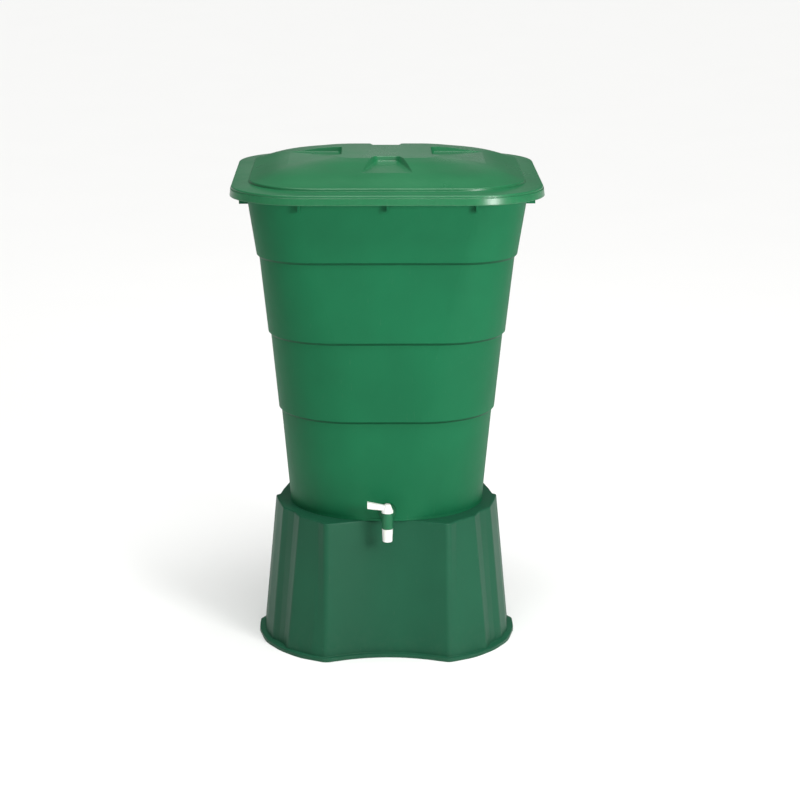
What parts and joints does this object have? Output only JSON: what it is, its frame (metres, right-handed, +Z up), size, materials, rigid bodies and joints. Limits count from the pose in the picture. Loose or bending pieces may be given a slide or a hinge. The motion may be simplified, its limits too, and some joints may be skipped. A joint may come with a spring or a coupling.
{
  "type": "rain barrel",
  "caption": "Tapered square rain barrel with stepped walls, a lift-off domed lid with hand recesses, a hollow stand and a quarter-turn plastic tap at the foot.",
  "frame": {"origin": "centre of the stand's underside, on the ground", "axes": "+Z up along the barrel's height, -Y is the front with the tap, +X to the right seen from behind the tap"},
  "size_m": [0.7468, 0.7468, 1.2066],
  "materials": {
    "stand_plastic": "moulded green polyethylene, satin with a fine grain",
    "tub_plastic": "moulded green polyethylene, satin",
    "lid_plastic": "moulded green polyethylene, satin",
    "tap_green_plastic": "moulded green plastic, satin",
    "tap_white_plastic": "moulded white plastic, soft gloss",
    "seal_rubber": "black rubber, matt",
    "screw_steel": "zinc-plated steel"
  },
  "bodies": {
    "stand": {"stand": "stand_plastic"},
    "tub": {"tub": "tub_plastic", "tap_body": "tap_green_plastic", "outer_seal": "seal_rubber", "inner_seal": "seal_rubber", "lock_nut": "tap_green_plastic"},
    "lid": {"lid": "lid_plastic"},
    "tap_valve": {"tap_plug": "tap_white_plastic", "tap_lever": "tap_white_plastic", "plug_o_rings": "seal_rubber", "lever_screw": "screw_steel"}
  },
  "joints": [
    {"name": "tub_lift", "type": "slide", "parent": "stand", "child": "tub", "axis": [0, 0, 1], "range_m": [0, 0.06]},
    {"name": "lid_lift", "type": "slide", "parent": "tub", "child": "lid", "axis": [0, 0, 1], "range_m": [0, 0.12]},
    {"name": "tap_turn", "type": "hinge", "parent": "tub", "child": "tap_valve", "pos_m": [0, -0.298, 0.361], "axis": [0, 0, 1], "range_deg": [0, 90]}
  ]
}
